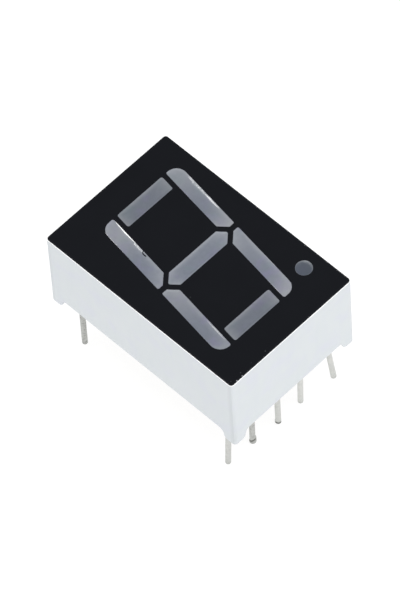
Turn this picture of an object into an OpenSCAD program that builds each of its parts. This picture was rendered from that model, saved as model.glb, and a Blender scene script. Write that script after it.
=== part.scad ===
// Seven segment LED display with one digit and a decimal point.
// Millimetres, +Z up through the printed face. The origin is the middle of the pin grid
// on the seating plane, where the four feet meet the host board. X runs across the digit
// and Y runs up it.

/* [Housing] */
// Width of the housing, across the digit
body_w = 12.6; // [12.2:0.1:24]
// Length of the housing, up the digit
body_l = 19; // [18.2:0.1:34]
// Height from the seating plane to the printed face
body_h = 8; // [7:0.1:14]
// Thickness of the side walls
wall_t = 0.5; // [0.4:0.05:0.6]
// Radius of the four upright corners
corner_r = 0.3; // [0.05:0.05:0.4]
// Height of the corner feet under the side walls
foot_h = 0.9; // [0.7:0.05:1.2]
// Length of a foot along each wall
foot_l = 1.15; // [0.8:0.05:2]
// Radius of the round end of a foot's sole
sole_r = 0.4; // [0.05:0.05:0.5]
// Radius of the curve from a foot into the wall above it
foot_curve_r = 0.5; // [0.1:0.05:0.7]

/* [Digit] */
// Height of the digit
digit_h = 13.98; // [10:0.02:16.5]
// Width of the digit before it is slanted
digit_w = 7.96; // [6.5:0.02:9.8]
// Place of the digit's middle to the right of the housing's middle
digit_x = 0.08; // [-0.3:0.01:0.3]
// Place of the digit's middle above the housing's middle
digit_y = 0.06; // [-0.3:0.01:0.3]
// Slant of the digit in degrees
slant = 8; // [0:0.1:10]
// Width of the four upright bars
upright_w = 1.22; // [1.14:0.02:1.6]
// Width of the top and bottom bars
cross_w = 1.34; // [1:0.02:1.7]
// Width of the middle bar
middle_w = 1.36; // [1:0.02:1.7]
// Gap between an upright bar and the end of a cross bar
bar_gap = 0.42; // [0.2:0.02:0.7]
// Gap between the upper and the lower upright bars
split_gap = 0.46; // [0.2:0.02:0.7]
// Gap between the middle bar's points and the mitred upright bars
mitre_gap = 0.42; // [0.2:0.02:0.7]
// Height above the middle at which an upright bar's inner edge meets its mitre
mitre_h = 0.96; // [0.8:0.02:1.18]
// Radius of the digit's outer corners
digit_r = 0.88; // [0.1:0.02:1]
// Radius of the digit's lower left corner, which is rounder
heel_r = 0.9; // [0.1:0.02:1]
// Radius of an upright bar's corners where the upper and lower bars part
split_r = 0.12; // [0.04:0.02:0.24]
// Radius of the bars' other corners
bar_r = 0.16; // [0.04:0.02:0.2]
// Diameter of the decimal point
point_d = 1.32; // [1.2:0.02:1.8]
// Distance from the middle of the decimal point to the right side of the housing
point_side = 1.6; // [1.2:0.01:2]
// Height of the decimal point's middle above the foot of the digit
point_rise = 0.72; // [0.4:0.02:1.2]

/* [Print and light wells] */
// Thickness of the printed face layer
print_t = 0.05; // [0.02:0.01:0.1]
// Bare edge of the housing round the print
print_edge = 0.05; // [0:0.01:0.15]
// Bare rim of the housing between the print and each light well
well_rim = 0.06; // [0.02:0.01:0.12]
// Length of a well's throat at the board as a share of its window
throat_length = 0.45; // [0.4:0.01:0.8]
// Width of a well's throat at the board as a share of its window
throat_width = 0.62; // [0.55:0.01:0.9]

/* [Board] */
// Thickness of the circuit board
board_t = 1; // [0.6:0.1:1.6]
// Gap between the edge of the board and the side walls
board_gap = 0.15; // [0.1:0.05:0.2]
// Depth of the board's back inside the side walls
board_depth = 1.2; // [0.9:0.05:1.8]
// Depth of the potting's back inside the side walls
potting_depth = 0.3; // [0.1:0.05:0.4]
// Height of the small rests that hold the reflector off the board
rest_h = 0.15; // [0.1:0.01:0.3]
// Diameter of each rest
rest_d = 0.4; // [0.3:0.05:0.5]
// Thickness of the copper
copper_t = 0.035; // [0.018:0.001:0.07]
// Width of the copper tracks
track_w = 0.3; // [0.15:0.05:0.4]
// Diameter of the copper pads round the pins
pad_d = 0.9; // [0.86:0.02:0.94]
// Diameter of the plated holes inside their copper
hole_d = 0.7; // [0.68:0.02:0.74]

/* [Chips and bond wires] */
// Width of the square LED chips
chip_w = 0.24; // [0.18:0.02:0.32]
// Height of the LED chips
chip_h = 0.2; // [0.1:0.01:0.3]
// Diameter of the adhesive under each chip
adhesive_d = 0.4; // [0.36:0.02:0.5]
// Thickness of the adhesive under each chip
adhesive_t = 0.03; // [0.02:0.01:0.05]
// Width of the square pads for the chips and the bond wires
land_w = 0.5; // [0.5:0.02:0.56]
// Distance between a chip and the pad of its bond wire
bond_span = 0.8; // [0.7:0.02:0.84]
// Diameter of the bond wires
wire_d = 0.03; // [0.025:0.005:0.05]
// Diameter of the ball at each end of a bond wire
ball_d = 0.08; // [0.06:0.01:0.12]
// Thickness of the ball at each end of a bond wire
ball_t = 0.02; // [0.01:0.005:0.04]

/* [Pins] */
// Distance between neighbouring pins in a row
pin_pitch = 2.54; // [2:0.01:2.54]
// Distance between the two rows of pins
row_gap = 15.24; // [12.7:0.01:17.78]
// Diameter of the tinned pins below the seating plane
pin_d = 0.45; // [0.4:0.01:0.56]
// Thickness of the tin, which stops at the seating plane
tin_t = 0.01; // [0.005:0.005:0.02]
// Length of the pins below the seating plane
pin_l = 6; // [3:0.1:12]
// Radius of the edge of each pin's tip
tip_r = 0.12; // [0.02:0.01:0.18]
// Rise of each pin above the board
pin_rise = 0.2; // [0.05:0.01:0.25]
// Lean of the bent pin 5 in degrees
bent_lean = 6; // [0:0.5:10]
// Direction of the bent pin's lean, from +X towards +Y
bent_way = -44; // [-180:1:180]

/* [Solder] */
// Height of the solder under the board
solder_h = 0.5; // [0.2:0.02:0.56]
// Height of the solder above the board
solder_rise = 0.15; // [0.05:0.01:0.2]
// Diameter of the pockets in the reflector over the pins
pocket_d = 0.9; // [0.9:0.02:1]
// Depth of the pockets in the reflector over the pins
pocket_h = 0.35; // [0.3:0.01:0.5]

/* [Hidden] */
$fn = 48;
BARS = ["a", "b", "c", "d", "e", "f", "g"];
LIGHTS = concat(BARS, ["dp"]);
NETS = concat(LIGHTS, ["common"]);
PINS = [for (i = [1:10]) i];

// Levels above the seating plane
front_z = body_h - print_t;               // front of the white reflector
board_z = foot_h + board_depth;           // back of the board
board_top = board_z + board_t;            // front of the board, which carries the chips
copper_top = board_top + copper_t;
adhesive_top = copper_top + adhesive_t;
chip_top = adhesive_top + chip_h;
reflector_z = board_top + rest_h;         // back of the reflector's webs
potting_z = foot_h + potting_depth;       // back of the potting
pin_top = board_top + pin_rise;

// Widths and radii
cavity = [body_w - 2 * wall_t, body_l - 2 * wall_t];
board = [cavity[0] - 2 * board_gap, cavity[1] - 2 * board_gap];
core_r = pin_d / 2 - tin_t;               // untinned stretch of a pin
barrel_r = hole_d / 2;
drill_r = barrel_r + copper_t;
bent_pin = 5;
solder_edge = 0.04;                       // bare edge of a pad round its solder
solder_lip = 0.02;                        // thickness of the solder where it ends on the pin
rest_edge = 0.1;                          // from a rest to the edge of the board
arc_steps = 6;                            // straight steps in a rounded corner
corner_share = 0.84;                      // most of a bar's width that an outer corner's radius may be
cut = 0.5;                                // how far a cutting tool runs past what it cuts

// Half sizes of the digit before it is slanted
top_y = digit_h / 2;
outer_x = digit_w / 2;
inner_x = outer_x - upright_w;
cross_x = inner_x - bar_gap;
mitre_sum = inner_x + mitre_h;            // x + y along the mitre of an upright bar
middle_sum = mitre_sum - mitre_gap * sqrt(2);
point_at = [body_w / 2 - point_side, digit_y + point_rise - top_y];

// Corners of a bar before it is slanted, counter-clockwise, each with its radius
cross_bar = [
    [-cross_x, top_y - cross_w, bar_r], [cross_x, top_y - cross_w, bar_r],
    [cross_x, top_y, bar_r], [-cross_x, top_y, bar_r]
];
middle_bar = [
    [middle_w / 2 - middle_sum, -middle_w / 2, bar_r], [middle_sum - middle_w / 2, -middle_w / 2, bar_r],
    [middle_sum, 0, bar_r], [middle_sum - middle_w / 2, middle_w / 2, bar_r],
    [middle_w / 2 - middle_sum, middle_w / 2, bar_r], [-middle_sum, 0, bar_r]
];

function unit(v) = v / norm(v);
function normal(from, to) = let (d = unit(to - from)) [-d[1], d[0]];

// Puts a point of the upright digit in its place on the face
function slanted(p) = [digit_x + p[0] + p[1] * tan(slant), digit_y + p[1]];

// Corners of an upright bar, by the radius of its outer corner, which the bar's width limits
function upright_bar(outer_r) = [
    [inner_x, mitre_h, bar_r], [mitre_sum - split_gap / 2, split_gap / 2, split_r],
    [outer_x, split_gap / 2, split_r], [outer_x, top_y, min(outer_r, corner_share * (upright_w - bar_r))],
    [inner_x, top_y, bar_r]
];

// Mirrors a list of corners, and keeps it counter-clockwise
function mirrored(corners, x, y) = let (last = len(corners) - 1, turn = x * y < 0) [
    for (i = [0:last]) let (c = corners[turn ? last - i : i]) [c[0] * x, c[1] * y, c[2]]
];

function bar_corners(name) =
    name == "a" ? cross_bar :
    name == "b" ? upright_bar(digit_r) :
    name == "c" ? mirrored(upright_bar(digit_r), 1, -1) :
    name == "d" ? mirrored(cross_bar, 1, -1) :
    name == "e" ? mirrored(upright_bar(heel_r), -1, -1) :
    name == "f" ? mirrored(upright_bar(digit_r), -1, 1) : middle_bar;

// Moves every side of an outline inwards by the same distance
function inset(points, distance) = let (n = len(points)) [
    for (i = [0:n - 1]) let (
        before = normal(points[(i + n - 1) % n], points[i]),
        after = normal(points[i], points[(i + 1) % n])
    ) points[i] + distance * (before + after) / (1 + before * after)
];

// Points of the arc that rounds one corner
function corner_arc(before, corner, after, r) = let (
    u = unit(before - corner), v = unit(after - corner),
    half = acos(u * v) / 2,
    centre = corner + unit(u + v) * r / sin(half),
    start = corner + u * r / tan(half) - centre,
    first = atan2(start[1], start[0])
) [for (i = [0:arc_steps]) let (a = first + i * (180 - 2 * half) / arc_steps) centre + r * [cos(a), sin(a)]];

// Outline of a bar's window, drawn in by a margin
function bar_outline(name, margin) = let (
    corners = bar_corners(name), n = len(corners),
    points = inset([for (c = corners) slanted([c[0], c[1]])], margin)
) [
    for (i = [0:n - 1]) let (before = points[(i + n - 1) % n], after = points[(i + 1) % n])
        each corner_arc(before, points[i], after, max(corners[i][2] - margin, 0.02))
];

// Middle of a light: half-way up an upright bar, or the middle of any other
upright_y = (top_y + split_gap / 2) / 2;
upright_x = (outer_x + inner_x) / 2;
function light_middle(name) =
    name == "dp" ? point_at :
    name == "a" ? slanted([0, top_y - cross_w / 2]) :
    name == "d" ? slanted([0, cross_w / 2 - top_y]) :
    name == "b" ? slanted([upright_x, upright_y]) :
    name == "c" ? slanted([upright_x, -upright_y]) :
    name == "e" ? slanted([-upright_x, -upright_y]) :
    name == "f" ? slanted([-upright_x, upright_y]) : slanted([0, 0]);

// Direction from a chip to the pad of its bond wire
function bond_way(name) =
    name == "a" ? [1, 0] :
    name == "d" || name == "g" ? [-1, 0] :
    name == "b" || name == "f" ? [0, 1] : [0, -1];
function is_cross(name) = name == "a" || name == "d" || name == "g";
function chip_at(name) = light_middle(name) - bond_way(name) * bond_span / 2;
function land_at(name) = light_middle(name) + bond_way(name) * bond_span / 2;

// Pins count along the bottom row from left to right, and back along the top row
row_pins = len(PINS) / 2;
function pin_at(i) = i <= row_pins
    ? [(i - (row_pins + 1) / 2) * pin_pitch, -row_gap / 2]
    : [((3 * row_pins + 1) / 2 - i) * pin_pitch, row_gap / 2];

function net_pins(name) =
    name == "a" ? [7] : name == "b" ? [6] : name == "c" ? [4] : name == "d" ? [2] :
    name == "e" ? [1] : name == "f" ? [9] : name == "g" ? [10] : name == "dp" ? [5] : [3, 8];

// Copper runs on the front of the board, each a list of its corners
spine_x = chip_at("g")[0];
left_lane_x = -(outer_x + board[0] / 2) / 2;
branch_up_y = chip_at("f")[1];
branch_down_y = chip_at("e")[1];
common_runs = [
    [pin_at(8), [spine_x, chip_at("a")[1]], [spine_x, chip_at("d")[1]], pin_at(3)],
    [chip_at("a"), [spine_x, chip_at("a")[1]]],
    [chip_at("d"), [spine_x, chip_at("d")[1]]],
    [chip_at("f"), chip_at("b")],
    [chip_at("e"), chip_at("c"), [point_at[0], branch_down_y], chip_at("dp")]
];
function net_runs(name) =
    name == "common" ? common_runs :
    name == "g" ? [[land_at("g"), [left_lane_x, land_at("g")[1]], [left_lane_x, branch_up_y], pin_at(10)]] :
    [[land_at(name), pin_at(net_pins(name)[0])]];
function net_lands(name) = name == "common" ? [for (n = LIGHTS) chip_at(n)] : [land_at(name)];

module at(place, z = 0) {
    translate([place[0], place[1], z]) children();
}

// Upright block with rounded corners, centred on the origin
module rounded_block(size, r, h) {
    linear_extrude(height = h) union() {
        square([size[0] - 2 * r, size[1]], center = true);
        square([size[0], size[1] - 2 * r], center = true);
        for (x = [-1, 1], y = [-1, 1])
            translate([x * (size[0] / 2 - r), y * (size[1] / 2 - r)]) circle(r = r);
    }
}

// Window of a light in the flat, drawn in by a margin
module window(name, margin = 0) {
    if (name == "dp") translate(point_at) circle(d = point_d - 2 * margin);
    else polygon(bar_outline(name, margin));
}

// Light well, from the back of the reflector's webs to its front, and on past both
module well(name, below, above) {
    middle = light_middle(name);
    share = is_cross(name) ? [throat_length, throat_width] : [throat_width, throat_length];
    depth = front_z - reflector_z;
    if (name == "dp")
        at(middle, reflector_z - below) cylinder(d = point_d - 2 * well_rim, h = depth + below + above);
    else {
        at(middle, reflector_z)
            linear_extrude(height = depth, scale = [1 / share[0], 1 / share[1]], slices = 1)
                scale(share) translate(-middle) window(name, well_rim);
        at(middle, reflector_z - below) linear_extrude(height = below)
            scale(share) translate(-middle) window(name, well_rim);
        if (above > 0)
            translate([0, 0, front_z]) linear_extrude(height = above) window(name, well_rim);
    }
}

// Pockets in the back of the reflector over the ends of the pins
module pockets(below) {
    for (i = PINS) at(pin_at(i), reflector_z - below) cylinder(d = pocket_d, h = pocket_h + below);
}

// Rests of the reflector on the front of the board
module rests() {
    for (x = [-1, 1], y = [-1, 1])
        at([x * (board[0] / 2 - rest_d / 2 - rest_edge), y * body_l / 8], board_top)
            cylinder(d = rest_d, h = rest_h);
}

// Gap between two feet, seen square to the wall
module gap_profile(length) {
    r = min(sole_r, foot_h - foot_curve_r);
    translate([-length / 2, -cut]) square([length, foot_h - foot_curve_r + cut]);
    translate([foot_curve_r - length / 2, -cut]) square([length - 2 * foot_curve_r, foot_h + cut]);
    for (side = [-1, 1]) {
        translate([side * (length / 2 - foot_curve_r), foot_h - foot_curve_r]) circle(r = foot_curve_r);
        difference() {
            translate([side * (length + r) / 2 - r / 2, -cut]) square([r, r + cut]);
            translate([side * (length / 2 + r), r]) circle(r = r);
        }
    }
}

module foot_gap(along, through) {
    rotate([90, 0, 0]) translate([0, 0, -through / 2 - cut])
        linear_extrude(height = through + 2 * cut) gap_profile(along - 2 * foot_l);
}

module housing() {
    color("#e4e6ea") union() {
        difference() {
            rounded_block([body_w, body_l], corner_r, front_z);
            translate([-cavity[0] / 2, -cavity[1] / 2, -cut]) cube([cavity[0], cavity[1], reflector_z + cut]);
            foot_gap(body_w, body_l);
            rotate([0, 0, 90]) foot_gap(body_l, body_w);
            for (name = LIGHTS) well(name, cut, cut);
            pockets(cut);
        }
        rests();
    }
}

module printed_face() {
    size = [body_w - 2 * print_edge, body_l - 2 * print_edge];
    color("#1b1c20") translate([0, 0, front_z]) difference() {
        rounded_block(size, max(corner_r - print_edge, 0.02), print_t);
        translate([0, 0, -cut]) linear_extrude(height = print_t + 2 * cut) for (name = LIGHTS) window(name);
    }
}

module board_blank() {
    at([0, 0], board_z) translate([-board[0] / 2, -board[1] / 2, 0]) cube([board[0], board[1], board_t]);
}

module circuit_board() {
    color("#c9b26a") difference() {
        board_blank();
        for (i = PINS) at(pin_at(i), board_z - cut) cylinder(r = drill_r, h = board_t + 2 * cut);
    }
}

// One run of track through a list of points
module track(points) {
    for (p = points) translate(p) circle(d = track_w);
    for (i = [1:len(points) - 1]) let (step = points[i] - points[i - 1])
        translate(points[i - 1]) rotate(atan2(step[1], step[0]))
            translate([0, -track_w / 2]) square([norm(step), track_w]);
}

// Copper of one net, with its holes still full
module copper_blank(name) {
    translate([0, 0, board_top]) linear_extrude(height = copper_t) union() {
        for (run = net_runs(name)) track(run);
        for (p = net_lands(name)) translate(p) square(land_w, center = true);
        for (i = net_pins(name)) translate(pin_at(i)) circle(d = pad_d);
    }
    for (i = net_pins(name)) {
        at(pin_at(i), board_z) cylinder(r = drill_r, h = board_t);
        at(pin_at(i), board_z - copper_t) cylinder(d = pad_d, h = copper_t);
    }
}

module copper(name) {
    color("#b87333") difference() {
        copper_blank(name);
        for (i = net_pins(name)) at(pin_at(i), board_z - cut) cylinder(r = barrel_r, h = board_t + 2 * cut);
    }
}

module chip_adhesive(name) {
    color("#a9abae") at(chip_at(name), copper_top) cylinder(d = adhesive_d, h = adhesive_t);
}

module led_chip(name) {
    color("#d8a23c") at(chip_at(name), adhesive_top) translate([-chip_w / 2, -chip_w / 2, 0])
        cube([chip_w, chip_w, chip_h]);
}

// Bond wire: a half round arch over a straight drop, with a ball at each end
module bond_wire(name) {
    reach = bond_span / 2;
    arch_z = chip_top + ball_t;
    way = bond_way(name);
    color("#d9b44a") at(light_middle(name)) rotate([0, 0, atan2(way[1], way[0])]) union() {
        for (end = [[-reach, chip_top], [reach, copper_top]]) translate([end[0], 0, end[1]]) {
            cylinder(d = ball_d, h = ball_t);
            cylinder(d = wire_d, h = arch_z - end[1]);
        }
        translate([0, 0, arch_z]) rotate([90, 0, 0])
            rotate_extrude(angle = 180) translate([reach, 0]) circle(d = wire_d);
    }
}

// Hollow curve of a solder fillet from its pad to the pin, as radii and heights
function fillet(foot_r, h) = [
    for (i = [0:arc_steps]) let (a = 90 * i / arc_steps, lip_r = core_r + solder_lip)
        [lip_r + (foot_r - lip_r) * (1 - sin(a)), h * (1 - cos(a))]
];

module solder_blank(i) {
    back = board_z - copper_t;
    under = [for (p = fillet(pad_d / 2 - solder_edge, solder_h)) [p[0], back - p[1]]];
    over = [for (p = fillet(pad_d / 2 - solder_edge, solder_rise)) [p[0], copper_top + p[1]]];
    top = len(under) - 1;
    at(pin_at(i)) rotate_extrude() polygon(concat(
        [[0, under[top][1]]], [for (k = [top:-1:0]) under[k]],
        [[barrel_r, back], [barrel_r, copper_top]],
        over, [[0, over[top][1]]]
    ));
}

module solder_joint(i) {
    color("#9fa3a6") difference() {
        solder_blank(i);
        at(pin_at(i), board_z - solder_h - cut) cylinder(r = core_r, h = board_t + solder_h + 2 * cut);
    }
}

// Tinned stretch of a pin, hanging from the origin, with a round-edged tip
module shank() {
    r = pin_d / 2;
    translate([0, 0, tip_r - pin_l]) cylinder(r = r, h = pin_l - tip_r);
    translate([0, 0, -pin_l]) rotate_extrude() union() {
        square([r - tip_r, tip_r]);
        intersection() {
            translate([r - tip_r, tip_r]) circle(r = tip_r);
            translate([r - tip_r, 0]) square(tip_r);
        }
    }
}

module pin(i) {
    color("#c9c9c6") at(pin_at(i)) union() {
        cylinder(r = core_r, h = pin_top);
        if (i == bent_pin) {
            sphere(d = pin_d);
            rotate([0, 0, bent_way]) rotate([0, -bent_lean, 0]) shank();
        }
        else shank();
    }
}

// The wells, the potting round the board, and room in it for all that it holds
module epoxy_casting() {
    color("#a9adb6") difference() {
        union() {
            translate([-cavity[0] / 2, -cavity[1] / 2, potting_z])
                cube([cavity[0], cavity[1], reflector_z - potting_z]);
            for (name = LIGHTS) well(name, rest_h / 2, 0);
            pockets(rest_h / 2);
        }
        board_blank();
        rests();
        for (name = NETS) copper_blank(name);
        for (name = LIGHTS) {
            chip_adhesive(name);
            led_chip(name);
            bond_wire(name);
        }
        for (i = PINS) {
            solder_blank(i);
            at(pin_at(i)) cylinder(r = core_r, h = pin_top);
        }
    }
}

housing();
printed_face();
epoxy_casting();
circuit_board();
for (name = NETS) copper(name);
for (name = LIGHTS) chip_adhesive(name);
for (name = LIGHTS) led_chip(name);
for (name = LIGHTS) bond_wire(name);
for (i = PINS) solder_joint(i);
for (i = PINS) pin(i);
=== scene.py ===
# Seven segment LED display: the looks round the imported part.
# The part is in metres. Meshes are worked in millimetres and scaled when a piece is finished.
import math
import bmesh
import bpy
import numpy as np
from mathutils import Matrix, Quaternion, Vector, noise
from mathutils.bvhtree import BVHTree


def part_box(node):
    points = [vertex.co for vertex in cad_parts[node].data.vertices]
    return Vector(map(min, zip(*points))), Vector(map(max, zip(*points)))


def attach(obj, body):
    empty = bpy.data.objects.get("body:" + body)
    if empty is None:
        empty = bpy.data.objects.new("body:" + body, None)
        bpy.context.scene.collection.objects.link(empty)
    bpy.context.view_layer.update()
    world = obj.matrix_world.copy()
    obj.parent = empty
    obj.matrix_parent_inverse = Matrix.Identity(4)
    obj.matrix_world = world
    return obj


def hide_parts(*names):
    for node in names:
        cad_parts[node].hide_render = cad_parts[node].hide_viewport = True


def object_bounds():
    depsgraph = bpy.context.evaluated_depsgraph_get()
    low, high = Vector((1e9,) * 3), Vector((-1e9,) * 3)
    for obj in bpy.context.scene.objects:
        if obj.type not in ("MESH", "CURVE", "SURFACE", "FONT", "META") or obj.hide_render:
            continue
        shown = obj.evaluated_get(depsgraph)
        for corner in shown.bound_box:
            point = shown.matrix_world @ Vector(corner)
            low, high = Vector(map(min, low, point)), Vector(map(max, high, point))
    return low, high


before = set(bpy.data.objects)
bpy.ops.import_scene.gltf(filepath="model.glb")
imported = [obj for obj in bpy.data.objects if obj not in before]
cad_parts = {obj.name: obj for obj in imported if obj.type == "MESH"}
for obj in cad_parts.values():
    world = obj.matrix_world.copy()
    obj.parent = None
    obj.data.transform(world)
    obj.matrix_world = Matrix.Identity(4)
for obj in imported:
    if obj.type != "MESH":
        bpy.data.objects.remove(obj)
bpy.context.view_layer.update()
scene = bpy.context.scene
perMetre = 1000                      # millimetres in a metre
body = "root"
flat = 0.999                         # a face is level where its normal's Z is above this
steep = 0.01                         # and upright where it is below this
near = 0.002                         # millimetres within which two levels are the same
weldWithin = 1e-4                    # millimetres between points that are one


def boxOf(node):                     # lowest and highest corner of a CAD node, in millimetres
    low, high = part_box(node)
    return low * perMetre, high * perMetre


def asShare(value):                  # kept between 0 and 1
    return min(max(value, 0), 1)


# Materials

def paint(code):                     # a hex colour as the shader's own linear colour
    parts = [int(code[i:i + 2], 16) / 255 for i in (1, 3, 5)]
    linear = [p / 12.92 if p <= 0.04045 else ((p + 0.055) / 1.055) ** 2.4 for p in parts]
    return (*linear, 1)


class Wire:                          # a socket that can stand in a sum
    def __init__(self, bench, socket):
        self.bench = bench
        self.socket = socket

    def math(self, operation, *others):
        return self.bench.add("ShaderNodeMath", {"operation": operation}, [self, *others])

    def __add__(self, other):
        return self.math("ADD", other)

    def __radd__(self, other):
        return self.math("ADD", other)

    def __sub__(self, other):
        return self.math("SUBTRACT", other)

    def __rsub__(self, other):
        return (self * -1) + other

    def __mul__(self, other):
        return self.math("MULTIPLY", other)

    def __rmul__(self, other):
        return self.math("MULTIPLY", other)

    def __gt__(self, other):
        return self.math("GREATER_THAN", other)

    def __lt__(self, other):
        return self.math("LESS_THAN", other)

    def clamped(self):
        return (self + 0).math("MINIMUM", 1).math("MAXIMUM", 0)

    def above(self, start, gain):            # 0 up to the start, then rising to 1
        return ((self - start) * gain).clamped()

    def below(self, start, gain):            # 0 down to the start, then rising to 1
        return ((start - self) * gain).clamped()


class Bench:                         # a node tree, and the one way that nodes get into it
    def __init__(self, tree):
        self.tree = tree

    def add(self, kind, settings=(), values=(), out=0):
        node = self.tree.nodes.new(kind)
        for key, value in dict(settings).items():
            setattr(node, key, value)
        pairs = values.items() if isinstance(values, dict) else enumerate(values)
        for key, value in pairs:
            if isinstance(value, Wire):
                self.tree.links.new(value.socket, node.inputs[key])
            else:
                node.inputs[key].default_value = value
        return Wire(self, node.outputs[out])


class Finish(Bench):                 # one material, built round a Principled shader
    def __init__(self, name, **fixed):
        self.material = bpy.data.materials.new(name)
        self.material.use_nodes = True
        super().__init__(self.material.node_tree)
        self.tree.nodes.clear()
        self.shader = self.tree.nodes.new("ShaderNodeBsdfPrincipled")
        self.surface = self.tree.nodes.new("ShaderNodeOutputMaterial").inputs["Surface"]
        self.tree.links.new(self.shader.outputs[0], self.surface)
        for socket, value in fixed.items():
            self.shader.inputs[socket.replace("_", " ")].default_value = value
        metres = self.add("ShaderNodeTexCoord", out="Object")
        self.place = self.add("ShaderNodeVectorMath", {"operation": "SCALE"},
                              {"Vector": metres, "Scale": perMetre})

    def noise(self, perMillimetre, detail, along=(1, 1, 1), seed=0):
        spot = self.add("ShaderNodeVectorMath", {"operation": "MULTIPLY_ADD"},
                        [self.place, along, (seed, seed * 1.7, -seed)])
        return self.add("ShaderNodeTexNoise", {},
                        {"Vector": spot, "Scale": perMillimetre, "Detail": detail})

    def cells(self, perMillimetre, out="Distance", seed=0):
        spot = self.add("ShaderNodeVectorMath", {"operation": "ADD"}, [self.place, (seed, seed, 0)])
        return self.add("ShaderNodeTexVoronoi", {}, {"Vector": spot, "Scale": perMillimetre}, out)

    def attribute(self, name):
        return self.add("ShaderNodeAttribute", {"attribute_name": name}, out="Fac")

    def mix(self, factor, first, second, blend="MIX"):
        return self.add("ShaderNodeMix", {"data_type": "RGBA", "blend_type": blend},
                        {0: factor, 6: first, 7: second}, out=2)

    def over(self, factor, colour, code):    # lays a paint over a colour
        return self.mix(factor, colour, paint(code))

    def shade(self, colour, amount):         # multiplies a colour by a grey amount
        grey = self.add("ShaderNodeCombineColor", {}, [amount, amount, amount])
        return self.mix(1, colour, grey, "MULTIPLY")

    def axis(self, name):                    # millimetres along X, Y or Z
        return self.add("ShaderNodeSeparateXYZ", {}, [self.place], name)

    def wear(self, **inputs):
        for socket, value in inputs.items():
            self.tree.links.new(value.socket, self.shader.inputs[socket.replace("_", " ")])

    def bump(self, height, millimetres):
        return self.add("ShaderNodeBump", {},
                        {"Height": height, "Distance": millimetres / perMetre, "Strength": 1})


# Meshes

def millimetreCopy(node):            # a CAD node's mesh as one welded skin
    mesh = bmesh.new()
    mesh.from_mesh(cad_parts[node].data)
    bmesh.ops.scale(mesh, vec=[perMetre] * 3, verts=mesh.verts)
    bmesh.ops.remove_doubles(mesh, verts=mesh.verts, dist=weldWithin)
    return mesh


def joinFlats(mesh, degrees=0.3):    # merges the triangles that lie flat to within so many degrees
    bmesh.ops.dissolve_limit(mesh, angle_limit=math.radians(degrees), verts=mesh.verts, edges=mesh.edges)


def roundEdges(mesh, edges, radius, steps):
    bmesh.ops.bevel(mesh, geom=edges, offset=radius, offset_type="OFFSET", segments=steps, profile=0.5,
                    affect="EDGES", clamp_overlap=False)


def skinRings(mesh, rings):          # joins rings of points into one closed skin
    count = len(rings[0])
    for one, two in zip(rings, rings[1:]):
        for i in range(count):
            mesh.faces.new([one[i], one[(i + 1) % count], two[(i + 1) % count], two[i]])
    mesh.faces.new(rings[0][::-1])
    mesh.faces.new(rings[-1])


def makePiece(name, mesh, material, replaced, smoothTo=38, layers=(), levelShading=False):
    bmesh.ops.recalc_face_normals(mesh, faces=mesh.faces)
    bmesh.ops.scale(mesh, vec=[1 / perMetre] * 3, verts=mesh.verts)
    data = bpy.data.meshes.new(name)
    mesh.to_mesh(data)
    mesh.free()
    kept = {"position", "sharp_edge", "sharp_face", "material_index", *layers}
    for extra in [a.name for a in data.attributes if a.name not in kept and not a.is_required]:
        data.attributes.remove(data.attributes[extra])
    data.materials.clear()
    data.materials.append(material)
    for polygon in data.polygons:
        polygon.use_smooth = True
        polygon.material_index = 0
    data.set_sharp_from_angle(angle=math.radians(smoothTo))
    piece = bpy.data.objects.new(name, data)
    scene.collection.objects.link(piece)
    if levelShading:
        piece.modifiers.new("levelShading", "WEIGHTED_NORMAL").keep_sharp = True
    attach(piece, body)
    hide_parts(*replaced)


def middleOf(edge):
    return (edge.verts[0].co + edge.verts[1].co) / 2


def pointsOf(mesh, mark):            # points of the marked faces, each once
    return list(dict.fromkeys(v for f in mesh.faces if f.material_index == mark for v in f.verts))


def refine(mesh, mark, longest, passes=8):       # splits the marked faces' edges that are too long
    marked = [f for f in mesh.faces if f.material_index == mark]
    bmesh.ops.triangulate(mesh, faces=marked)
    for _ in range(passes):
        edges = dict.fromkeys(e for f in mesh.faces if f.material_index == mark for e in f.edges)
        long = [e for e in edges if e.calc_length() > longest(middleOf(e))]
        if not long:
            break
        bmesh.ops.subdivide_edges(mesh, edges=long, cuts=1)
        split = [f for f in mesh.faces if f.material_index == mark and len(f.verts) > 3]
        bmesh.ops.triangulate(mesh, faces=split)


class Outline:                       # a closed line in the plane, for distances to it
    def __init__(self, points):
        self.start = np.array(points)
        self.step = np.roll(self.start, -1, axis=0) - self.start
        self.low = self.start.min(axis=0)
        self.high = self.start.max(axis=0)
        self.middle = (self.low + self.high) / 2
        self.square = np.maximum((self.step ** 2).sum(axis=1), 1e-12)

    def nearest(self, point):        # distance to the line, and the way from the point to it
        gap = np.array(point[:2]) - self.start
        share = np.clip((gap * self.step).sum(axis=1) / self.square, 0, 1)
        way = self.start + share[:, None] * self.step - np.array(point[:2])
        lengths = np.hypot(way[:, 0], way[:, 1])
        best = int(lengths.argmin())
        return float(lengths[best]), way[best] / max(lengths[best], 1e-9)


def loopsOf(edges):                  # closed loops of points from a list of edges, in a fixed order
    left = dict.fromkeys(edges)
    loops = []
    while left:
        edge = next(iter(left))
        del left[edge]
        first, at = edge.verts
        loop = [first, at]
        while True:
            onward = next((e for e in at.link_edges if e in left), None)
            if onward is None:
                break
            del left[onward]
            at = onward.other_vert(at)
            if at is first:
                break
            loop.append(at)
        loops.append(loop)
    return loops


def isLevel(face, z):
    return abs(face.normal.z) > flat and abs(face.calc_center_median().z - z) < near


# Outlines of the eight windows, named by where they lie on the face

crossWidth = 3                       # millimetres: a wider window is one of the three level bars


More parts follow.
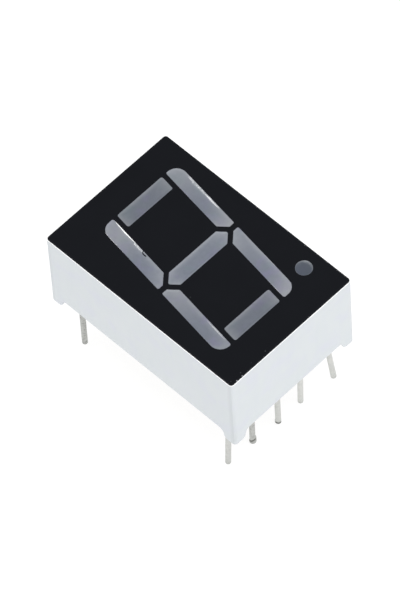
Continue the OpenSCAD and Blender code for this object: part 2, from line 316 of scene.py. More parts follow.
def findWindows():
    mesh = millimetreCopy("printed_face")
    top = boxOf("printed_face")[1].z
    mesh.normal_update()
    rim = [e for e in mesh.edges if sum(isLevel(f, top) for f in e.link_faces) == 1]
    outlines = [Outline([v.co[:2] for v in loop]) for loop in loopsOf(rim)]
    mesh.free()
    outlines.sort(key=lambda o: float(np.prod(o.high - o.low)))
    point, bars = outlines[0], outlines[1:-1]    # the last is the outside of the print
    downward = sorted(bars, key=lambda o: -o.middle[1])
    cross = [o for o in downward if o.high[0] - o.low[0] > crossWidth]
    upright = [o for o in downward if o.high[0] - o.low[0] <= crossWidth]
    upper = sorted(upright[:2], key=lambda o: o.middle[0])
    lower = sorted(upright[2:], key=lambda o: o.middle[0])
    names = ["dp", "a", "g", "d", "f", "b", "e", "c"]
    return dict(zip(names, [point, *cross, *upper, *lower]))


windows = findWindows()

# Housing: white moulding, with a painted highlight along its bare top rim, and painted shade beside its
# corners

housingLook = {
    "rim": 0.02, "foot": 0.03, "rimSteps": 3, "footSteps": 2,      # rounding of the edges
    "outside": 0.985, "corner": 50,  # an outer edge lies past this share of the box, and turns so far
    "white": ("#d9dfe1", "#dee2e5"), "flow": "#d3d8e2", "lilac": "#d8dae7", "scuffs": "#c9cac8",
    "cornerShadePaint": "#cbd0d3", "cornerShadeDepth": 0.75, "rimHighlightPaint": "#ffffff", "rimHighlightHeight": 0.03,
}


def whiteMoulding():
    look = housingLook
    finish = Finish("whiteMoulding", Specular_IOR_Level=0.4)
    cloud = finish.noise(0.35, 3, seed=3)
    flow = finish.noise(1.3, 2, along=(1, 1, 0.25), seed=8)
    grain = finish.noise(14, 3)
    colour = finish.mix(cloud, *map(paint, look["white"]))
    colour = finish.over(flow.above(0.42, 1.6) * 0.35, colour, look["flow"])
    lilac = finish.noise(0.55, 3, seed=14).above(0.49, 5)
    colour = finish.over(lilac * 0.4, colour, look["lilac"])
    # Painted shade: a darker band on the long walls beside each corner, for the shade of the crease there.
    corner = boxOf("housing")[1]
    across = finish.axis("X").math("ABSOLUTE") - corner.x + 0.06      # above 0 on the long walls
    along = corner.y - finish.axis("Y").math("ABSOLUTE")              # 0 at the corner
    cornerShade = (across * 90).clamped() * (1.15 - along * 2.2).clamped()
    colour = finish.over(cornerShade * look["cornerShadeDepth"], colour, look["cornerShadePaint"])
    scuffs = finish.noise(2.6, 5, seed=21).above(0.66, 6) * 0.12
    colour = finish.over(scuffs, colour, look["scuffs"])
    # Painted highlight: the bare top of the rim is drawn pure white, as if it caught the light.
    rim = finish.axis("Z").above(corner.z - look["rimHighlightHeight"], 80)
    colour = finish.over(rim, colour, look["rimHighlightPaint"])
    finish.wear(Base_Color=colour, Roughness=0.46 + grain * 0.14 - scuffs,
                Normal=finish.bump(grain + flow * 0.8, 0.004))
    return finish.material


def housing():
    look = housingLook
    mesh = millimetreCopy("housing")
    joinFlats(mesh)
    mesh.normal_update()
    high = boxOf("housing")[1]
    seat = boxOf("epoxy_casting")[0].z

    def outerCorner(edge):
        p = middleOf(edge)
        outside = max(abs(p.x) / high.x, abs(p.y) / high.y) > look["outside"]
        return outside and edge.is_manifold and edge.calc_face_angle() > math.radians(look["corner"])

    rim = [e for e in mesh.edges if outerCorner(e) and min(v.co.z for v in e.verts) > high.z - near]
    roundEdges(mesh, rim, look["rim"], look["rimSteps"])
    mesh.normal_update()
    foot = [e for e in mesh.edges if outerCorner(e) and max(v.co.z for v in e.verts) < seat]
    roundEdges(mesh, foot, look["foot"], look["footSteps"])
    makePiece("housing_shell", mesh, whiteMoulding(), ["housing"], levelShading=True)


# Printed face: black ink, with a hooked lick of it in one window

printLook = {
    "edge": 0.012, "edgeSteps": 2, "sharp": 1,       # rounding of the edges that turn by over a radian
    "ink": ("#090b10", "#0d0f14"), "dust": "#8f9196", "outsideGrey": "#4a4c50", "grit": "#a9abb2",
    # The lick: how far up its window it starts, how deep it sits in the edge, and its curve from there.
    "lickWindow": "f", "lickAt": 0.469, "lickGrip": 0.03, "lickWidth": 0.07, "lickSteps": 14,
    "lickCurve": ((-0.264, -0.0098), (-0.231, -0.294), (-0.22, -0.49)),
    "lickSink": 0.004,               # its top lies so far under the print's
}


def blackPrint():
    look = printLook
    finish = Finish("blackPrint", Specular_IOR_Level=0.07)
    cloud = finish.noise(0.5, 3, seed=5)
    mottle = finish.noise(9, 3)
    colour = finish.mix(cloud, *map(paint, look["ink"]))
    speck = finish.cells(0.8, seed=4).below(0.035, 60)
    chosen = finish.add("ShaderNodeSeparateColor", {}, [finish.cells(0.8, "Color", seed=4)]) > 0.97
    dust = speck * chosen
    colour = finish.over(dust * 0.15, colour, look["dust"])
    low, high = boxOf("printed_face")
    across = finish.axis("X").math("ABSOLUTE") - high.x
    along = finish.axis("Y").math("ABSOLUTE") - high.y
    outside = across.math("MAXIMUM", along).above(-0.14, 7)            # lighter grey along the outside
    colour = finish.over(outside * 0.12, colour, look["outsideGrey"])
    byFoot = (1 + (low.y - finish.axis("Y")) * 2.6).clamped()
    grit = finish.cells(3.1, seed=7).below(0.2, 14) * byFoot * finish.axis("X").below(-0.8, 0.5)
    colour = finish.over(grit * 0.7, colour, look["grit"])
    finish.wear(Base_Color=finish.shade(colour, 0.86 + mottle * 0.28), Roughness=0.5 + mottle * 0.16,
                Normal=finish.bump(mottle + dust * 2, 0.0025))
    return finish.material


def inkLick(mesh, low, high):        # a tapered strip of ink between two levels, along a cubic curve
    look = printLook
    window = windows[look["lickWindow"]]
    y = window.low[1] + look["lickAt"] * (window.high[1] - window.low[1])
    probe = np.array([window.middle[0] + 0.3, y])                      # right of the middle
    gap, way = window.nearest(probe)
    start = probe + gap * way + np.array([look["lickGrip"], 0])
    out, back, end = (start + np.array(step) for step in look["lickCurve"])
    rings = []
    for i in range(look["lickSteps"] + 1):
        t = i / look["lickSteps"]
        s = 1 - t
        middle = s ** 3 * start + 3 * s * s * t * out + 3 * s * t * t * back + t ** 3 * end
        along = s * s * (out - start) + 2 * s * t * (back - out) + t * t * (end - back)
        across = np.array([-along[1], along[0]]) / np.hypot(*along)
        swell = (0.7 + 0.6 * t) * math.sqrt(max(1 - t ** 8, 0.04))     # wider, then round at the end
        half = look["lickWidth"] / 2 * swell
        rings.append([mesh.verts.new((*(middle + side * half * across), z))
                      for side, z in ((-1, low), (-1, high), (1, high), (1, low))])
    skinRings(mesh, rings)


def printedFace():
    look = printLook
    mesh = millimetreCopy("printed_face")
    joinFlats(mesh)
    mesh.normal_update()
    low, high = boxOf("printed_face")
    edges = [e for e in mesh.edges
             if e.calc_face_angle(0) > look["sharp"] and min(v.co.z for v in e.verts) > high.z - near]
    roundEdges(mesh, edges, look["edge"], look["edgeSteps"])
    inkLick(mesh, low.z, high.z - look["lickSink"])
    makePiece("printed_face_ink", mesh, blackPrint(), ["printed_face"], levelShading=True)


# Epoxy casting: eight windows filled nearly level with the print, and the potting at the back.
# Values stored on its points drive its finish. In a window they are the depth of the epoxy along a
# slanted line, the distance to the edge, and the tones of the reflector walls that show through,
# with glints as painted highlights and veils of painted light beside them.

windowMark, pottingMark = 1, 2
stored = ("depth", "edge", "glint", "lightVeil", "inset", "haze", "tone", "potting")

epoxyLook = {
    # A window's surface meets the edge a brim under the print's top, then sinks and ripples.
    "brim": 0.012, "sink": 0.035, "sinkOver": 0.12, "ripple": 0.006, "rippleRate": 1.3, "rippleOver": 0.1,
    # Painted light: the line slants to the right, so the windows' right sides come out shallower and lighter,
    # as if lit by the reflector walls.
    "sight": (0.06, 0.03, -1), "sightIn": 0.1, "sightUnder": 0.01,     # the line that depths lie along
    "windowGrid": (0.035, 0.4),      # longest edge at a window's edge, and its growth inward
    "tones": {"a": 0.79, "b": 1, "c": 1.04, "d": 0.79, "e": 0.98, "f": 1.04, "g": 1.03, "dp": 0.375},
    # Paler upper halves and feet of the uprights, in shares of a window's height.
    "hazes": {"f": 0.27, "b": 0.15, "e": 0.17, "c": 0.11}, "hazeFrom": 0.45, "hazeRise": 0.32,
    "hazeFall": 0.16, "footHazes": {"b": 0.29, "c": 0.29}, "footHazeOver": 0.35,
    # Glints are painted highlights on bare streaks of the white reflector beside an upright edge, each
    # in a veil of painted light: its side (1 right, -1 left), from and to as shares of the window's
    # height, the widths of the line and of its veil, and how far inside the edge the line runs.
    "glints": {
        "f": [(1, 0.6, 0.96, 0.17, 0.06, 0), (1, 0.43, 0.74, 0.05, 0.24, 0.12)],
        "b": [(1, 0.38, 0.84, 0.045, 0.27, 0.12), (1, 0.23, 0.54, 0.06, 0.22, 0.1)],
        "e": [(1, 0.08, 0.42, 0.034, 0.16, 0.1)],
        "c": [(-1, 0.02, 0.3, 0.025, 0.06, 0.01), (1, 0.3, 0.6, 0.02, 0.05, 0.02)],
    },
    # Painted light round the point: a paler veil all the way round, and more on its right.
    "pointLightVeil": (0.072, 0.168),     # round the point: all the way, and more on its right
    # The potting climbs the walls and the pins, and swells a little between them.
    "climb": 0.32, "climbOver": 0.35, "pinClimb": 0.22, "pinClimbOver": 0.16, "pinRadius": 0.2,
    "swell": 0.03, "swellRate": 0.7, "pinGrid": (0.09, 0.4), "wallGrid": (0.12, 0.35), "openGrid": 0.7,
    "shelfArea": 0.5, "shelfOver": 0.05,         # a level face over the board and so large is a shelf
    "shallowAndDeep": ("#7c8087", "#5f6571"), "lilac": "#6a6782", "teal": "#5c6f72", "blue": "#566a80",
    "hazePaint": "#9b9b9c", "lightVeilPaint": "#dfe1e3", "glintPaint": "#f4f5f5",
    "backing": ("#b9b6a6", "#a9a79c"), "bubblePaint": "#8d8a7c",
}


def milkyEpoxy():
    look = epoxyLook
    finish = Finish("milkyEpoxy", Specular_IOR_Level=0.45)
    depth, edge, glint, lightVeil, inset, haze, tone, potting = map(finish.attribute, stored)
    cloud = finish.noise(1.1, 3, seed=2)
    wisp = finish.noise(3.2, 4, seed=9)
    ragged = finish.noise(7, 4, seed=5)
    # Shallow epoxy is drawn lighter; with the slanted depths this paints light on the windows' right sides.
    deep = 1 - (depth * -0.45).math("EXPONENT")
    colour = finish.mix(deep, *map(paint, look["shallowAndDeep"]))
    lilac = finish.noise(0.95, 2, seed=40).above(0.5, 5)
    teal = finish.noise(0.85, 2, seed=31).above(0.54, 6)
    colour = finish.over(lilac * 0.45, colour, look["lilac"])
    colour = finish.over(teal * 0.25, colour, look["teal"])
    colour = finish.over((tone < 0.6) * 0.45, colour, look["blue"])    # only the point is so dark
    colour = finish.shade(colour, (0.9 + wisp * 0.2) * tone)
    colour = finish.over(haze * (0.75 + cloud * 0.5), colour, look["hazePaint"])
    # Painted light: a paler veil beside the glints and round the point.
    patches = finish.noise(3.3, 3, seed=23).above(0.44, 5)
    lightVeiled = (lightVeil * (0.5 + ragged)).above(edge, 5) * (0.2 + patches * 0.55) * tone
    colour = finish.over(lightVeiled, colour, look["lightVeilPaint"])
    # The glint's white line, a painted highlight, is broken up where it runs well inside the edge.
    broken = ((finish.noise(4.2, 3, seed=17) - 0.42) * 8 + (inset < 0.11) * 2).clamped()
    offLine = (edge - inset).math("ABSOLUTE")
    white = (glint * (0.25 + ragged * 0.6)).above(offLine, 45) * broken
    colour = finish.over(white * (0.75 + (inset < 0.05) * 0.25), colour, look["glintPaint"])
    backing = finish.mix(finish.noise(0.6, 3, seed=12), *map(paint, look["backing"]))
    bubble = finish.cells(1.7, seed=11).below(0.13, 12) * potting
    backing = finish.over(bubble * 0.5, backing, look["bubblePaint"])
    colour = finish.mix(potting, colour, backing)
    finish.wear(Base_Color=colour, Roughness=0.3 + wisp * 0.12 + white * 0.1 - potting * 0.14,
                Alpha=1 - potting * (0.3 + cloud * 0.3),
                Normal=finish.bump(wisp + cloud * 2 + white * 0.6 - bubble * 5, 0.004))
    return finish.material


def hazeAt(name, share):
    look = epoxyLook
    rise = asShare((share - look["hazeFrom"]) / look["hazeRise"])
    fall = asShare((1 - share) / look["hazeFall"])
    foot = max(1 - share / look["footHazeOver"], 0)
    return look["hazes"].get(name, 0) * rise * fall + look["footHazes"].get(name, 0) * foot


def glintAt(name, share, way):       # widths of the white line and of its veil, and the line's inset
    if name == "dp":
        around, right = epoxyLook["pointLightVeil"]
        return 0, around + right * max(way[0], 0), 0
    best = (0, 0, 0)
    for side, start, end, line, lightVeil, inset in epoxyLook["glints"].get(name, ()):
        if way[0] * side > 0.5:
            swell = math.sin(math.pi * asShare((share - start) / (end - start))) ** 0.5
            best = max(best, (line * swell, lightVeil * swell, inset))
    return best


def blockTopOf(mesh, high):          # top of the epoxy's block, from which its eight columns rise
    board = boxOf("circuit_board")[1].z
    shelves = [f.calc_center_median().z for f in mesh.faces
               if f.normal.z > flat and f.calc_area() > epoxyLook["shelfArea"]]
    return min(z for z in shelves if z > board + epoxyLook["shelfOver"] and z < high.z - 1)


def outerSkin(mesh, low, high, blockTop):        # drops the hollows round the board and the chips
    def upright(face):
        return abs(face.normal.z) < steep

    def fence(edge):                 # where a hollow opens onto a level face
        if len(edge.link_faces) != 2:
            return False
        one, two = edge.link_faces
        if upright(one) == upright(two):
            return False
        wall, floor = (one, two) if upright(one) else (two, one)
        p = middleOf(edge)
        inside = abs(p.x) < high.x - near and abs(p.y) < high.y - near
        under = wall.calc_center_median().z < blockTop
        opens = min(abs(p.z - low.z), abs(p.z - blockTop)) < near
        return inside and under and opens and abs(floor.normal.z) > flat

    reached = {f for f in mesh.faces if isLevel(f, high.z)}
    front = list(reached)
    while front:
        face = front.pop()
        for edge in face.edges:
            if fence(edge):
                continue
            for other in edge.link_faces:
                if other not in reached:
                    reached.add(other)
                    front.append(other)
    bmesh.ops.delete(mesh, geom=[f for f in mesh.faces if f not in reached], context="FACES")
    for loop in loopsOf([e for e in mesh.edges if e.is_boundary]):
        mesh.faces.new(loop)


def brimWindows(mesh, high, printTop):           # carries each window's filling out to the print
    fill = printTop - epoxyLook["brim"]
    tops = [f for f in mesh.faces if isLevel(f, high.z)]
    loops = loopsOf([e for e in mesh.edges if sum(f in tops for f in e.link_faces) == 1])
    bmesh.ops.delete(mesh, geom=tops, context="FACES")

    def middleOfLoop(loop):
        return sum((v.co for v in loop), Vector()).xy / len(loop)

    for window in windows.values():
        inner = min(loops, key=lambda l: (middleOfLoop(l) - Vector(window.middle)).length)
        outer = [mesh.verts.new((*point, fill)) for point in window.start]
        innerEdges = [mesh.edges.get((a, b)) for a, b in zip(inner, inner[1:] + inner[:1])]
        outerEdges = [mesh.edges.new((a, b)) for a, b in zip(outer, outer[1:] + outer[:1])]
        bmesh.ops.bridge_loops(mesh, edges=innerEdges + outerEdges)
        top = mesh.faces.new(outer)
        top.material_index = windowMark


windowEdges = {}


def windowEdgeOf(p):                 # distance and way to the nearest window edge, and its window's name
    key = (round(p.x, 4), round(p.y, 4))         # worked out once for each spot
    if key not in windowEdges:
        spot = np.array(p[:2])
        close = [(w.nearest(p), n) for n, w in windows.items()
                 if all(spot > w.low - 0.01) and all(spot < w.high + 0.01)]
        windowEdges[key] = min(close, key=lambda c: c[0][0])
    return windowEdges[key]


def spacing(grid, gap):              # longest edge allowed so far from the line where a grid starts
    start, growth = grid
    return start + growth * gap


def shapeWindows(mesh, layers, solid, top):      # stores the windows' values and sinks their surface
    look = epoxyLook
    refine(mesh, windowMark, lambda p: spacing(look["windowGrid"], windowEdgeOf(p)[0][0]))
    for vert in pointsOf(mesh, windowMark):
        (edge, way), name = windowEdgeOf(vert.co)
        window = windows[name]
        share = (vert.co.y - window.low[1]) / (window.high[1] - window.low[1])
        inward = Vector((*way, 0)) * -max(look["sightIn"] - edge, 0)
        start = Vector((vert.co.x, vert.co.y, top - look["sightUnder"])) + inward
        # The slant paints the right sides lighter, as painted light from the lit reflector walls.
        hit = solid.ray_cast(start, Vector(look["sight"]).normalized())
        vert[layers["depth"]] = hit[3] if hit[0] is not None else 0
        vert[layers["edge"]] = edge
        vert[layers["glint"]], vert[layers["lightVeil"]], vert[layers["inset"]] = glintAt(name, share, way)
        vert[layers["haze"]] = hazeAt(name, share)
        vert[layers["tone"]] = look["tones"][name]
        ripple = look["ripple"] * noise.noise(vert.co * look["rippleRate"])
        sink = look["sink"] * (1 - math.exp(-edge / look["sinkOver"]))
        vert.co.z -= sink + ripple * min(edge / look["rippleOver"], 1)


def shapePotting(mesh, layers, high):            # lets the potting climb the walls and the pins
    look = epoxyLook
    boxes = [boxOf(f"pin_{i}") for i in range(1, 11)]
    pins = [((a + b) / 2).xy for a, b in boxes]
    pins[4] = Vector((-pins[0].x, pins[0].y))    # pin 5 leans, so its top mirrors pin 1's

    def pinGap(p):
        return max(min((p.xy - pin).length for pin in pins) - look["pinRadius"], 0)

    def wallGap(p):
        return min(high.x - abs(p.x), high.y - abs(p.y))

    refine(mesh, pottingMark, lambda p: min(spacing(look["pinGrid"], pinGap(p)),
                                            spacing(look["wallGrid"], wallGap(p)), look["openGrid"]))
    for vert in pointsOf(mesh, pottingMark):
        wall = look["climb"] * math.exp(-max(wallGap(vert.co), 0) / look["climbOver"])
        pin = look["pinClimb"] * math.exp(-pinGap(vert.co) / look["pinClimbOver"])
        vert[layers["potting"]] = 1
        vert.co.z -= wall + pin + look["swell"] * noise.noise(vert.co * look["swellRate"])


def epoxyCasting():
    mesh = millimetreCopy("epoxy_casting")
    mesh.normal_update()
    low, high = boxOf("epoxy_casting")
    blockTop = blockTopOf(mesh, high)
    solid = BVHTree.FromBMesh(mesh)
    outerSkin(mesh, low, high, blockTop)
    brimWindows(mesh, high, boxOf("printed_face")[1].z)
    mesh.normal_update()
    for face in mesh.faces:
        if isLevel(face, low.z):
            face.material_index = pottingMark
    layers = {n: mesh.verts.layers.float.new(n) for n in stored}
    for vert in mesh.verts:
        vert[layers["tone"]] = 1
    shapeWindows(mesh, layers, solid, high.z)
    shapePotting(mesh, layers, high)
    makePiece("epoxy_filling", mesh, milkyEpoxy(), ["epoxy_casting"], 50, stored)


# Pins: hot tinned wire, cropped at the tip. Each tip is round, or sheared or pinched.

pinLook = {
    "sides": 32, "wander": 0.006, "wanderRate": (0.4, 0.8),        # round the pin and along it
    "topRings": 6, "earlyRings": 4, "bendRings": 8,
    "rings": 64, "closer": 1.6,      # rings below the bend, closer together towards the tip
    "bareAbove": 0.15, "bareBy": 0.01,           # thinner where it isn't tinned
    "tipRound": 0.13, "tipRings": 6, "bend": 0.35, "earlyBend": 0.5,
    "leans": {1: (-0.11, 0.24), 2: (-0.09, 0.21), 3: (-0.12, -0.02), 4: (-0.22, 0.03), 5: (0.02, 0.08),
              10: (0.1, 0.16)},      # how far a tip strays
    "early": {2: 1, 3: 0.8, 4: 0.7}, "earlyShare": 0.6,      # how much of that it strays at the top
    "cropped": {1: 0.08, 5: 0.12, 10: 0.2},
    "sheared": {2: (0.16, 20), 3: (0.1, 200), 8: (0.08, 90), 10: (0.05, 300)},   # slope, way in degrees
    "shearOver": 0.5,
    # A pinched tip has a dark groove above a flared cap with a lip: its height, slope, way and flare.
    "pinched": {2: (0.42, 0.13, -45, 0.05), 3: (0.2, 0.03, 130, 0.02), 8: (0.22, 0.04, 70, 0.02)},
    "grooveWidth": 0.045, "grooveDepth": 0.03, "capOver": 0.07, "capRound": (0.12, 0.2),
    "lip": 1.5, "lipAbove": 0.1, "lipWidth": 0.06,
    "darkTip": 0.4, "darkOver": 0.2,
    "tones": {1: 0.94, 2: 0.84, 3: 0.97, 4: 1.06, 10: 0.74},
    "tin": ("#dbdcd8", "#c2c4c1"), "dullTin": "#a3a49e", "darkMottlePaint": "#5d5c56", "burrPaint": "#55534e",
}


def tinnedLead():
    look = pinLook
    finish = Finish("tinnedLead", Metallic=1)
    burr, tone = map(finish.attribute, ("burr", "tone"))
    streak = finish.noise(5, 3, along=(1, 1, 0.15), seed=4)
    blotch = finish.noise(2.2, 4, seed=7)
    dull = finish.noise(1.1, 5, seed=15).above(0.58, 5)
    colour = finish.mix(blotch, *map(paint, look["tin"]))
    colour = finish.over(dull * 0.4, colour, look["dullTin"])
    # Darker mottling on the pins whose tone is below 1.
    darkMottle = finish.noise(4.5, 4, seed=3).above(0.5, 5) * (1 - tone).clamped() * 4     # on darker pins only
    colour = finish.over(darkMottle.clamped() * 0.6, finish.shade(colour, tone), look["darkMottlePaint"])
    colour = finish.over(burr, colour, look["burrPaint"])
    finish.wear(Base_Color=colour, Roughness=0.3 + streak * 0.22 + burr * 0.2,
                Normal=finish.bump(streak + blotch * 0.6, 0.006))
    return finish.material


def pinEnds(i):                      # middles of a pin's top and tip, and its lowest level, in the CAD
    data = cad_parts[f"pin_{i}"].data
    points = np.array([v.co for v in data.vertices]) * perMetre
    level = points[:, 2]
    top = points[level > level.max() - 0.01]     # thin slices at its ends
    tip = points[level < level.min() + 0.04]
    return Vector((top.min(0) + top.max(0)) / 2), Vector((tip.min(0) + tip.max(0)) / 2), level.min()


def pinPath(i):                      # points down a pin's middle, with a soft bend at the knee
    look = pinLook
    top, tip, lowest = pinEnds(i)
    up = Vector((0, 0, look["bend"]))
    stray = Vector((*look["leans"].get(i, (0, 0)), 0))
    early = look["early"].get(i, 0)
    seat = Vector((top.x, top.y, 0))
    start = seat + up
    knee = seat + stray * early * look["earlyShare"]
    tip = Vector((tip.x, tip.y, lowest + look["cropped"].get(i, 0))) + stray
    lean = (tip - knee).normalized()
    end = knee + lean * look["bend"]
    path = [top.lerp(start, k / look["topRings"]) for k in range(look["topRings"])]
    if early:
        start = start + Vector((0, 0, look["earlyBend"]))
        path = path[:look["earlyRings"]]
    for k in range(look["bendRings"]):
        t = k / look["bendRings"]
        path.append(start.lerp(knee, t).lerp(knee.lerp(end, t), t))
    length = (tip - end).length
    for k in range(look["rings"]):
        path.append(end + lean * length * (1 - (1 - k / look["rings"]) ** look["closer"]))
    return path, lean, tip


def tipShape(i, fromTip, heading):   # how far out a pin's skin lies beyond its round, and its groove
    look = pinLook
    height, tilt, tiltWay, flare = look["pinched"].get(i, (0, 0, 0, 0))
    turned = math.cos(math.radians(heading - tiltWay))
    above = fromTip - height - tilt * turned     # above the groove, or below it in the cap
    groove = math.exp(-(above / look["grooveWidth"]) ** 2) if height else 0
    roundOver, least = look["capRound"]          # the cap is narrower again at the very tip
    cap = flare * (1 + 0.5 * turned) * asShare(-above / look["capOver"]) * min(fromTip / roundOver + least, 1)
    fromLip = (above - look["lipAbove"]) / look["lipWidth"]
    lip = flare * look["lip"] * max(turned, 0) ** 3 * math.exp(-fromLip ** 2)
    return cap + lip - look["grooveDepth"] * groove, groove


def makePin(i, material):
    look = pinLook
    low, high = boxOf("pin_1")
    radius = (high.x - low.x) / 2
    path, lean, tip = pinPath(i)
    tipRound = look["tipRound"]
    stations = [(p, 0) for p in path if (tip - p).length >= tipRound]
    for k in range(1, look["tipRings"] + 1):     # the round edge of the tip
        a = math.pi / 2 * k / look["tipRings"]
        stations.append((tip - lean * tipRound * (1 - math.sin(a)), tipRound * (1 - math.cos(a))))

    mesh = bmesh.new()
    burr, tone = (mesh.verts.layers.float.new(n) for n in ("burr", "tone"))
    across = lean.orthogonal().normalized()
    sideways = lean.cross(across)
    slope, slopeWay = look["sheared"].get(i, (0, 0))
    roundRate, alongRate = look["wanderRate"]
    rings = []
    for p, taken in stations:
        fromTip = (tip - p).length
        reach = radius - taken - (look["bareBy"] if p.z > look["bareAbove"] else 0)
        ring = []
        for s in range(look["sides"]):
            a = 2 * math.pi * s / look["sides"]
            way = across * math.cos(a) + sideways * math.sin(a)
            heading = math.degrees(math.atan2(way.y, way.x))
            spot = Vector((p.x + way.x * roundRate, p.y + way.y * roundRate, p.z * alongRate))
            out, groove = tipShape(i, fromTip, heading)
            out += reach + look["wander"] * noise.noise(spot)
            facing = math.cos(math.radians(heading - slopeWay)) * max(1 - fromTip / look["shearOver"], 0)
            cut = slope * radius * (1 + facing)
            vert = mesh.verts.new(p + way * out - lean * cut)
            vert[burr] = min(groove + look["darkTip"] * math.exp(-fromTip / look["darkOver"]), 1)
            vert[tone] = look["tones"].get(i, 1)
            ring.append(vert)
        rings.append(ring)
    skinRings(mesh, rings)
    makePiece(f"tinned_pin_{i}", mesh, material, [f"pin_{i}"], 55, ["burr", "tone"])


# The sealed pieces keep their CAD meshes and get their own finishes

sealedLook = {
    "laminate": ("#b59a5c", "#cdb67c"), "copper": ("#d99472", "#a8623f"), "adhesive": ("#c6c7c9", "#8b8c8f"),
    "crystal": ("#c98d2e", "#e0ab4b"), "pad": "#e8c877", "gold": ("#e9bf5c", "#d3a440"),
    "solder": ("#c3c4c6", "#9b9da0"), "flux": "#a98f5a",
}


def boardLaminate():
    finish = Finish("boardLaminate", Specular_IOR_Level=0.4)
    warp = finish.noise(6, 2, along=(4, 0.3, 1), seed=1)
    weft = finish.noise(6, 2, along=(0.3, 4, 1), seed=6)
    colour = finish.mix(warp * 0.5 + weft * 0.5, *map(paint, sealedLook["laminate"]))
    finish.wear(Base_Color=colour, Roughness=0.5 + warp * 0.15, Normal=finish.bump(warp + weft, 0.006))
    return finish.material


def copperFoil():
    finish = Finish("copperFoil", Metallic=1)
    brushed = finish.noise(18, 3, along=(1, 0.2, 1))
    tarnish = finish.noise(2.5, 4, seed=3)
    colour = finish.mix(tarnish, *map(paint, sealedLook["copper"]))
    finish.wear(Base_Color=colour, Roughness=0.28 + brushed * 0.2, Normal=finish.bump(brushed, 0.002))
    return finish.material


def silverAdhesive():
    finish = Finish("silverAdhesive", Metallic=0.6)
    flakes = finish.cells(45)
    colour = finish.mix(flakes, *map(paint, sealedLook["adhesive"]))
    finish.wear(Base_Color=colour, Roughness=0.4 + flakes * 0.3, Normal=finish.bump(flakes, 0.003))
    return finish.material


def ledCrystal():
    finish = Finish("ledCrystal", Specular_IOR_Level=0.8)
    sawn = finish.noise(60, 2, along=(1, 1, 4))
    pad = finish.cells(4.2).below(0.055, 80)
    colour = finish.mix(sawn, *map(paint, sealedLook["crystal"]))
    colour = finish.over(pad, colour, sealedLook["pad"])
    finish.wear(Base_Color=colour, Roughness=0.2 + sawn * 0.3, Normal=finish.bump(sawn, 0.002))
    return finish.material


def goldWire():
    finish = Finish("goldWire", Metallic=1)
    drawn = finish.noise(80, 2)
    colour = finish.mix(drawn, *map(paint, sealedLook["gold"]))
    finish.wear(Base_Color=colour, Roughness=0.18 + drawn * 0.15)
    return finish.material


def dullSolder():
    finish = Finish("dullSolder", Metallic=1)
    frost = finish.noise(9, 4)
    flux = finish.noise(3, 3, seed=5).above(0.55, 4)
    colour = finish.mix(frost, *map(paint, sealedLook["solder"]))
    colour = finish.over(flux * 0.5, colour, sealedLook["flux"])
    finish.wear(Base_Color=colour, Roughness=0.25 + frost * 0.3, Normal=finish.bump(frost, 0.008))
    return finish.material


sealed = {                           # start of a CAD node's name: its finish
    "circuit_board": boardLaminate,
    "copper_": copperFoil,
    "chip_adhesive_": silverAdhesive,
    "led_chip_": ledCrystal,
    "bond_wire_": goldWire,
    "solder_joint_": dullSolder,
}


def finishSealed():
    for start, make in sealed.items():
        material = make()
        for name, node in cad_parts.items():
            if name.startswith(start):
                node.data.materials.clear()
                node.data.materials.append(material)


# Studio: a pale floor under the pin tips, soft light, and the camera

studio = {
    "floorHalf": 0.5, "floorGlow": 0.88, "floorPaper": ("#7a7a7a", "#767677"),
    "skyTop": 0.95, "skyLow": 0.6, "skyFrom": 0.1, "skyTo": 0.95,      # its strengths, and their heights
    "lights": {                      # name: azimuth, elevation, distance, width, watts
        "topBox": (0, 86, 0.5, 0.35, 1.2),
        "keyBox": (15, 50, 0.5, 0.35, 0.3),
    },
}
cameraLook = {
    "aside": (0.302, 0.451, 0.733), "azimuth": -42.078, "elevation": 56.778, "roll": 4.318,
    "distance": 0.47489, "lens": 386.11, "sensor": 36, "clip": (0.01, 5),
}


def wayOf(azimuth, elevation):       # unit vector from the object, as the views count it
    a, e = math.radians(azimuth), math.radians(elevation)
    return Vector((math.sin(a) * math.cos(e), -math.cos(a) * math.cos(e), math.sin(e)))


def placeInScene(name, data, location, facing=None):     # facing is a turn that points it
    thing = bpy.data.objects.new(name, data)
    thing.location = location
    if facing is not None:
        thing.rotation_mode = "QUATERNION"
        thing.rotation_quaternion = facing
    scene.collection.objects.link(thing)
    return thing


def paleFloor():
    finish = Finish("paleFloor", Specular_IOR_Level=0.1, Emission_Color=(1, 1, 1, 1),
                    Emission_Strength=studio["floorGlow"])
    paper = finish.noise(0.05, 3)
    colour = finish.mix(paper, *map(paint, studio["floorPaper"]))
    finish.wear(Base_Color=colour, Roughness=0.7 + paper * 0.1)
    fromBelow = finish.add("ShaderNodeNewGeometry", out="Backfacing")  # where the floor isn't shown
    lit = Wire(finish, finish.shader.outputs[0])
    clear = finish.add("ShaderNodeBsdfTransparent")
    sides = finish.add("ShaderNodeMixShader", {}, [fromBelow, lit, clear])
    finish.tree.links.new(sides.socket, finish.surface)
    return finish.material


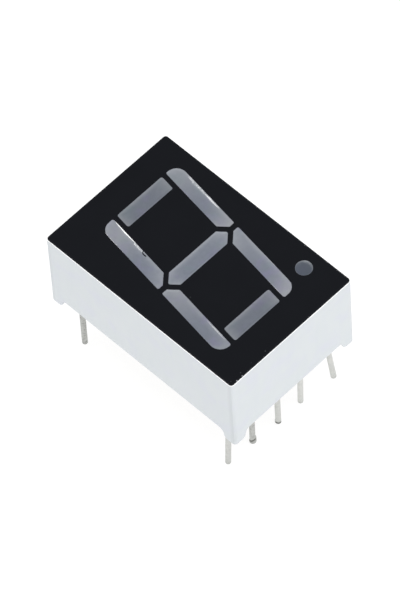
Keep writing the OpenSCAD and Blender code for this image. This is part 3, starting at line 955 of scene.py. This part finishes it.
def makeFloor(level):
    mesh = bmesh.new()
    bmesh.ops.create_grid(mesh, x_segments=8, y_segments=8, size=studio["floorHalf"])
    data = bpy.data.meshes.new("paleFloor")
    mesh.to_mesh(data)
    mesh.free()
    data.materials.append(paleFloor())
    floor = placeInScene("floor", data, (0, 0, level))


def makeSky():
    world = bpy.data.worlds.new("softStudio")
    scene.world = world
    world.use_nodes = True
    sky = Bench(world.node_tree)
    toward = sky.add("ShaderNodeTexCoord", out="Generated")
    height = sky.add("ShaderNodeSeparateXYZ", {}, [toward], "Z")
    strength = sky.add("ShaderNodeMapRange", {},
                       {"Value": height, "From Min": studio["skyFrom"], "From Max": studio["skyTo"],
                        "To Min": studio["skyLow"], "To Max": studio["skyTop"]})
    background = sky.tree.nodes["Background"]
    background.inputs["Color"].default_value = (1, 1, 1, 1)
    sky.tree.links.new(strength.socket, background.inputs["Strength"])


def makeLights(middle):
    for name, (azimuth, elevation, distance, width, watts) in studio["lights"].items():
        lamp = bpy.data.lights.new(name, "AREA")
        lamp.shape = "SQUARE"
        lamp.size = width
        lamp.energy = watts
        way = wayOf(azimuth, elevation)
        placeInScene(name, lamp, middle + way * distance, way.to_track_quat("Z", "Y"))


def makeCamera(middle):
    look = cameraLook
    back = wayOf(look["azimuth"], look["elevation"])
    data = bpy.data.cameras.new("camera")
    data.lens = look["lens"]
    data.sensor_width = look["sensor"]
    data.sensor_fit = "AUTO"
    data.clip_start, data.clip_end = look["clip"]
    roll = Quaternion((0, 0, 1), -math.radians(look["roll"]))
    place = middle + Vector(look["aside"]) / perMetre + back * look["distance"]
    scene.camera = placeInScene("camera", data, place, (-back).to_track_quat("-Z", "Y") @ roll)
    scene.view_settings.view_transform = "Standard"


print("camera and studio")
low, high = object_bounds()
middle = (low + high) / 2
makeFloor(low.z)
makeSky()
makeLights(middle)
makeCamera(middle)
print("housing")
housing()
print("printed face")
printedFace()
print("epoxy casting")
epoxyCasting()
print("pins")
lead = tinnedLead()
for i in range(1, 11):
    makePin(i, lead)
print("sealed pieces")
finishSealed()
